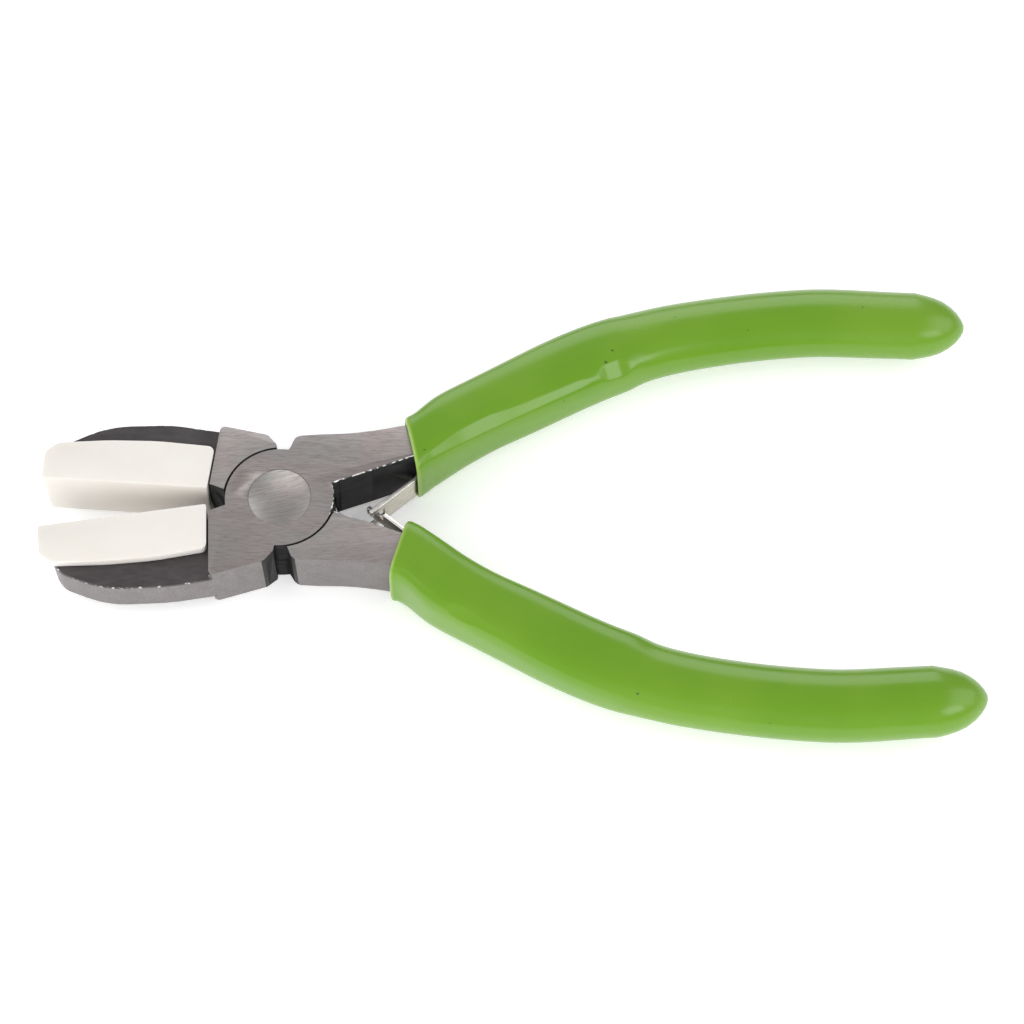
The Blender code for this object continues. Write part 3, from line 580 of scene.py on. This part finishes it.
jaw_pad("upper_jaw_pad", "lower_handle_half")
jaw_pad("lower_jaw_pad", "upper_handle_half")


# %% [markdown]
# ### The pads' pins
# How the real pads are held can't be seen. Here a short steel pin goes up through the underside of each pad
# into its jaw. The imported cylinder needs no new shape, so it only gets broken edges and the rivet's finish.


# %% Making the pins
PIN_EDGE = 0.10 * MM


def pad_pin(node, body):
    """A pin with broken edges."""
    shape = merged_copy(node)
    break_edges(shape, PIN_EDGE)
    return finished(node + "_finished", shape, (rivet_face,), node, body)


pad_pin("upper_pad_pin", "lower_handle_half")
pad_pin("lower_pad_pin", "upper_handle_half")

# %% [markdown]
# ## The return spring
# Two leaves of tempered strip push the handles apart. One ends in a fork and the other in a tongue that
# slides through it. Strip is slit from wide coil, so its cut edges are brighter than its rolled faces. The
# leaf with the tongue has its faces painted a darker, brownish grey, which is painted shade on faces turned
# away from the lights.


# %% Spring finishes
def strip_finish(name, dark, light, roughness):
    """Rolled spring strip with fine lines along it."""
    finish, tree, shader = new_finish(name, roughness, 0.95)
    lines = pattern(tree, (900.0, 900.0, 3200.0), 3.0)
    colour = ramp(tree, lines, ((0.35, dark), (0.65, light)))
    tree.links.new(colour, shader.inputs["Base Color"])
    relief(tree, shader, lines, 0.01 * MM, 0.4)
    return finish


rolled = strip_finish("rolled_strip", (0.54, 0.50, 0.44), (0.66, 0.62, 0.55), 0.34)
# Painted shade: the tongue leaf's faces are darker and browner than the fork leaf's, standing in for shade on
# them.
shaded_tongue_finish = strip_finish("shaded_tongue_strip", (0.17, 0.145, 0.125), (0.26, 0.23, 0.20), 0.38)
slit_edge = strip_finish("slit_edge", (0.80, 0.76, 0.72), (0.95, 0.92, 0.88), 0.30)


# %% Making the leaves
LEAF_EDGE = 0.09 * MM


def spring_leaf(node, body, face_look):
    """A leaf whose cut edges are brighter than its faces."""
    shape = merged_copy(node)
    for face in shape.faces:
        face.material_index = 1 if abs(face.normal.z) > 0.7 else 0
    break_edges(shape, LEAF_EDGE)
    return finished(node + "_finished", shape, (face_look, slit_edge), node, body)


spring_leaf("upper_spring_leaf", "upper_leaf", rolled)
spring_leaf("lower_spring_leaf", "lower_leaf", shaded_tongue_finish)

# %% [markdown]
# ## The dipped grips
# The handles were dipped in liquid vinyl. Near the joint the sleeve takes the square shape of the steel
# inside, and further back it is round, with a bump where one shape becomes the other. The front edge is a
# soft rolled lip. The sleeve is a ring of edges pulled along the handle's centre line, from the closed end
# to the lip and then back inside as the wall of the hole for the tang.

# %% The handle's centre line
KNOTS = (
    (16.1, 7.89), (17.7, 8.43), (23.7, 12.85), (31.7, 17.37),
    (44.7, 24.08), (56.7, 27.87), (73.7, 30.1), (86.7, 29.65), (96.4, 29.05),
)


def curve_value(knots, x, column=1):
    """A smooth curve through knots that are ordered in their first column."""
    last = len(knots) - 2
    i = min(max(sum(1 for k in knots if k[0] <= x) - 1, 0), last)

    def slope(k):
        low, high = knots[max(k - 1, 0)], knots[min(k + 1, last + 1)]
        return (high[column] - low[column]) / (high[0] - low[0])

    span = knots[i + 1][0] - knots[i][0]
    t = (x - knots[i][0]) / span
    start, end = knots[i][column], knots[i + 1][column]
    value = (2 * t**3 - 3 * t**2 + 1) * start + (3 * t**2 - 2 * t**3) * end
    return value + span * ((t**3 - 2 * t**2 + t) * slope(i) + (t**3 - t**2) * slope(i + 1))


def centre_at(x):
    """Place and angle of the centre line, in millimetres and radians."""
    rise = curve_value(KNOTS, x + 0.05) - curve_value(KNOTS, x - 0.05)
    return Vector((x, curve_value(KNOTS, x))), math.atan(rise / 0.1)


print("centre line at 50 mm:", [round(v, 2) for v in centre_at(50.0)[0]])


# %% A ring that can be reshaped
RING = 112
FACET_TILT = math.radians(40)


def flattened(reach, height, width, up, squareness, depth):
    """Press a corner of the ring back onto a plane that is tilted from level."""
    sine, cosine = math.sin(FACET_TILT), math.cos(FACET_TILT)
    power = squareness / (squareness - 1)
    corner = ((width * sine) ** power + (up * cosine) ** power) ** (1 / power)
    excess = reach * sine + height * cosine - (corner - depth)
    if excess > 0:
        reach -= excess * sine
        height -= excess * cosine
    return reach, height


def place_ring(verts, x, sizes, turn=None, facet=None):
    """Put a ring of corners round the centre line at x.

    The sizes are outward and inward half widths and half height in mm, and squareness. A facet is the
    signs of its corner and the depth that it cuts from that corner.
    """
    outward, inward, up, squareness = sizes
    centre, along = centre_at(x)
    angle = along if turn is None else turn
    across = Vector((-math.sin(angle), math.cos(angle)))
    for k, vert in enumerate(verts):
        phase = 2 * math.pi * (k + 0.5) / len(verts)
        cosine, sine = math.cos(phase), math.sin(phase)
        width = outward if cosine > 0 else inward
        reach = abs(cosine) ** (2 / squareness) * width
        height = abs(sine) ** (2 / squareness) * up
        if facet and facet[0] * cosine > 0 and facet[1] * sine > 0:
            reach, height = flattened(reach, height, width, up, squareness, facet[2])
        place = centre + across * math.copysign(reach, cosine)
        vert.co = (place.x * MM, place.y * MM, math.copysign(height, sine) * MM)


# %% The sleeve's sizes along its length
# Each row is: x, outward half width, inward half width, half height, squareness.
SLEEVE = (
    (18.4, 4.25, 4.85, 5.20, 4.6),
    (21.3, 4.45, 4.75, 5.12, 4.2),
    (24.2, 4.55, 4.70, 4.92, 3.9),
    (28.0, 4.65, 4.70, 4.70, 3.7),
    (33.0, 4.90, 4.95, 4.58, 3.5),
    (38.0, 5.10, 5.15, 4.48, 3.3),
    (44.0, 5.15, 5.25, 4.38, 3.1),
    (47.0, 5.15, 5.25, 4.32, 2.9),
    (50.0, 5.10, 5.00, 4.27, 2.4),
    (54.0, 5.00, 4.95, 4.25, 2.3),
    (62.0, 4.90, 5.00, 4.23, 2.2),
    (80.0, 4.88, 4.98, 4.23, 2.2),
    (86.5, 4.85, 4.88, 4.15, 2.2),
)
# The rounded end, as distance from the end, half width and half height.
DOME = (
    (6.0, 4.65, 4.05), (4.6, 4.30, 3.80), (3.3, 3.80, 3.40), (2.1, 3.05, 2.75),
    (1.2, 2.25, 2.05), (0.5, 1.35, 1.25), (0.12, 0.6, 0.6),
)
# The rolled lip, as distance behind the front and how far in from the sleeve's sizes.
LIP = (
    (1.50, 0.02), (0.90, 0.0), (0.55, -0.05), (0.30, -0.05),
    (0.12, 0.04), (0.02, 0.18), (0.0, 0.34), (0.12, 0.50),
)


def sleeve_row(x):
    """Sizes of the sleeve at x, read smoothly between the rows."""
    x = min(max(x, SLEEVE[0][0]), SLEEVE[-1][0])
    return tuple(curve_value(SLEEVE, x, column) for column in (1, 2, 3, 4))


print("sleeve sizes at 30 mm:", [round(v, 2) for v in sleeve_row(30.0)])

# %% [markdown]
# ### Pressed corners
# One long corner of each sleeve has flatter stretches, up to a third of a millimetre deep. A flat strip on a
# round body catches a light as one clean streak. The depth is read from a short table along the grip, and
# each ring's corner is pushed back by that much onto a tilted plane as the ring is placed.

# %% How deep the corners are pressed
# How deep the corner that faces the bench's front is pressed in, along the upper and the lower grip.
PRESSED = {
    1: (
        (17.0, 0.02), (19.5, 0.05), (22.0, 0.13), (24.0, 0.25), (28.0, 0.27),
        (31.0, 0.14), (36.0, 0.09), (40.0, 0.07), (41.5, 0.0), (42.8, 0.0),
        (43.8, 0.30), (46.0, 0.34), (47.4, 0.05), (48.5, 0.0), (60.0, 0.0),
    ),
    -1: (
        (16.0, 0.03), (22.0, 0.05), (25.0, 0.0), (26.0, 0.22), (27.6, 0.24), (29.0, 0.08), (32.0, 0.03),
        (34.0, 0.0), (60.0, 0.0),
    ),
}


def pressed_at(side, x):
    """The facet of a sleeve at x: the signs of the corner that it is on, and its depth."""
    rows = PRESSED[side]
    for (low, start), (high, end) in zip(rows, rows[1:]):
        if low <= x < high:
            share = (x - low) / (high - low)
            return -side, side, start + (end - start) * share
    return None


print("pressed corner at 25 mm:", [round(v, 2) for v in pressed_at(1, 25.0)])

# %% The rings of a sleeve's outside
# A ring is: x, sizes, turn, facet, and how strong the painted highlight on the lip is at that ring.
GRIP_FRONT = 17.1
GRIP_END = 96.4
STAGGER = 0.8  # the upper grip sits this much further back, and the lower one further forward
RING_GAP = 0.4
DOME_START = 7.2  # before the closed end
TURN_START = 1.9  # behind the front, where rings begin to turn from the lip's angle to the centre line's
TURN_LENGTH = 6.0
TURN_RINGS = 15
TURN_END = 8.0  # behind the front, where every ring is square to the centre line
FRONT_LEAN = 14.5  # degrees
LEAN_SHARE = 2.5  # the upper front leans this much less, and the lower one this much more
LIP_HIGHLIGHT_LENGTH = 0.5  # the painted highlight, a paler green on the lip, reaches this near to the front
LEAF_SIDE = 0.6  # the lip is this share as thick on the side where the spring leaf comes out


def front_lean(side):
    """Angle of a sleeve's front from square to the tool's length."""
    return math.radians(FRONT_LEAN - side * LEAN_SHARE)


def outer_rings(side):
    """The rings of a sleeve from its closed end to the rolled lip."""
    front = GRIP_FRONT + side * STAGGER
    end = GRIP_END + side * STAGGER
    lean = front_lean(side)
    rings = []
    for back, wide, high in reversed(DOME):
        rings.append((end - back, (wide, wide, high, 2.1), None, None, 0.0))
    x = end - DOME_START
    while x > front + TURN_END:
        rings.append((x, sleeve_row(x), None, pressed_at(side, x), 0.0))
        x -= RING_GAP
    for k in range(TURN_RINGS, -1, -1):
        share = k / TURN_RINGS
        x = front + TURN_START + share * TURN_LENGTH
        turn = lean + (centre_at(x)[1] - lean) * share**1.2
        rings.append((x, sleeve_row(x), turn, pressed_at(side, x), 0.0))
    out, inn, up, square = sleeve_row(front)
    for back, thin in LIP:
        # Painted highlight: rings this near the front get a share of paler green, standing in for light on the
        # rolled lip.
        lip_highlight = max(0.0, 1.0 - back / LIP_HIGHLIGHT_LENGTH)
        sizes = (out - thin, inn - LEAF_SIDE * thin, up - thin, square)
        rings.append((front + back, sizes, lean, pressed_at(side, front + back), lip_highlight))
    return rings


# %% The rings of the hole for the tang
MOUTH_BACKS = (0.6, 1.4, 2.4, 3.2)  # distances behind the front
MOUTH_REACH = 3.15  # outward half width
MOUTH_HEIGHT = 4.62  # half height
LEAF_WALL = 0.25  # thickness of the vinyl beside the leaf inside the mouth
HOLE_START = 4.6  # behind the front
HOLE_BACK, HOLE_STEP = 92, 4
TANG_START, TANG_LENGTH = 17, 73
TANG_WIDE = 2.75  # half width of the hole at the tang's start
TANG_NARROWING = 0.30  # and how much of it is lost along the tang
TANG_TALLER = 0.65  # half height over half width
TANG_END = 91.6


def hole_rings(side):
    """The rings of a sleeve's mouth and of the narrower hole behind it, to the tang's end."""
    front = GRIP_FRONT + side * STAGGER
    inward = sleeve_row(front)[1]
    rings = []
    for back in MOUTH_BACKS:
        sizes = (MOUTH_REACH, inward - LEAF_WALL, MOUTH_HEIGHT, 5.0)
        rings.append((front + back, sizes, front_lean(side), None, 0.0))
    rings.append((front + HOLE_START, (2.8, 3.0, 3.6, 4.0), None, None, 0.0))
    for x in range(24, HOLE_BACK, HOLE_STEP):
        wide = TANG_WIDE - TANG_NARROWING * (x - TANG_START) / TANG_LENGTH
        rings.append((x, (wide, wide, wide + TANG_TALLER, 3.2), None, None, 0.0))
    rings.append((TANG_END, (1.2, 1.2, 1.6, 2.5), None, None, 0.0))
    return rings


# %% Pulling the sleeve
def sleeve_shape(side):
    """A closed vinyl sleeve in the plan of a half with its handle at +Y."""
    shape = bmesh.new()
    lip = shape.verts.layers.float.new("lip")
    bmesh.ops.create_circle(shape, cap_ends=False, segments=RING, radius=1.0)
    ring = list(shape.verts)
    edges = start_edges = list(shape.edges)
    for k, (x, sizes, turn, facet, lip_highlight) in enumerate(outer_rings(side) + hole_rings(side)):
        if k:
            made = bmesh.ops.extrude_edge_only(shape, edges=edges)["geom"]
            grown = {g for g in made if isinstance(g, bmesh.types.BMVert)}
            partner = {}
            for vert in grown:
                for edge in vert.link_edges:
                    other = edge.other_vert(vert)
                    if other not in grown:
                        partner[other] = vert
            ring = [partner[vert] for vert in ring]
            edges = [g for g in made if isinstance(g, bmesh.types.BMEdge) and g.is_boundary]
        place_ring(ring, x, sizes, turn, facet)
        for vert in ring:
            vert[lip] = lip_highlight
    bmesh.ops.contextual_create(shape, geom=edges)
    bmesh.ops.contextual_create(shape, geom=start_edges)
    bmesh.ops.recalc_face_normals(shape, faces=shape.faces)
    return shape


# %% [markdown]
# ### Dipped vinyl
# Dipped vinyl is glossy and even, with slow waves, a fine orange peel and the odd dark speck. The waves and
# the peel are two bumps, one over the other. The rolled lip gets a painted highlight, a paler green in its
# colour: how strong it is is a number that was stored on the sleeve's vertices as it was pulled, and an
# Attribute node reads it back.


# %% Vinyl finish
def vinyl_finish(name, shift):
    """Glossy dipped vinyl with slow waves, a fine orange peel, a few dark specks and a painted highlight on the
    lip.
    """
    finish, tree, shader = new_finish(name, 0.24, 0.0)
    slow = pattern(tree, (70.0, 70.0, 70.0), 2.0, 0.0, 0.0, shift)
    peel = pattern(tree, (900.0, 900.0, 900.0), 2.0, 0.0, 0.0, shift)
    specks = pattern(tree, (1100.0, 1100.0, 1100.0), 0.0, 0.0, 0.0, shift)
    colour = ramp(tree, slow, ((0.35, (0.120, 0.270, 0.008)), (0.65, (0.140, 0.290, 0.012))))
    dots = spread(tree, specks, 0.870, 0.890, 0.0, 0.8)
    colour = mixed(tree, dots, colour, (0.03, 0.05, 0.02))
    # Painted highlight: the stored share mixes in a paler green, standing in for light on the rolled lip.
    lip_highlight_share = tree.nodes.new("ShaderNodeAttribute")
    lip_highlight_share.attribute_name = "lip"
    colour = mixed(tree, lip_highlight_share.outputs["Fac"], colour, (0.36, 0.52, 0.12))
    tree.links.new(colour, shader.inputs["Base Color"])
    tree.links.new(spread(tree, slow, 0.3, 0.7, 0.20, 0.30), shader.inputs["Roughness"])
    under = relief(tree, shader, slow, 0.12 * MM, 0.5)
    relief(tree, shader, peel, 0.012 * MM, 0.5, under)
    return finish


vinyl = {
    1: vinyl_finish("green_vinyl_upper", (0.0, 0.0, 0.0)),
    -1: vinyl_finish("green_vinyl_lower", (0.4, 0.2, 0.1)),
}


# %% Making the grips
def grip(node, side, body):
    """A vinyl grip, turned over for the lower handle and raised to the middle plane."""
    shape = sleeve_shape(side)
    if side < 0:
        bmesh.ops.rotate(shape, verts=shape.verts, cent=(0, 0, 0), matrix=Matrix.Rotation(math.pi, 3, "X"))
    bmesh.ops.translate(shape, verts=shape.verts, vec=(0.0, 0.0, MIDDLE))
    return finished(node + "_finished", shape, (vinyl[side],), node, body)


grip("upper_grip", 1, "upper_handle_half")
grip("lower_grip", -1, "lower_handle_half")

# %% Keep the sizes
visual_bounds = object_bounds()
sizes = {"cad": [list(corner) for corner in cad_bounds], "visual": [list(corner) for corner in visual_bounds]}
for label, bounds in sizes.items():
    print(label, [round((high - low) / MM, 2) for low, high in zip(*bounds)], "mm")
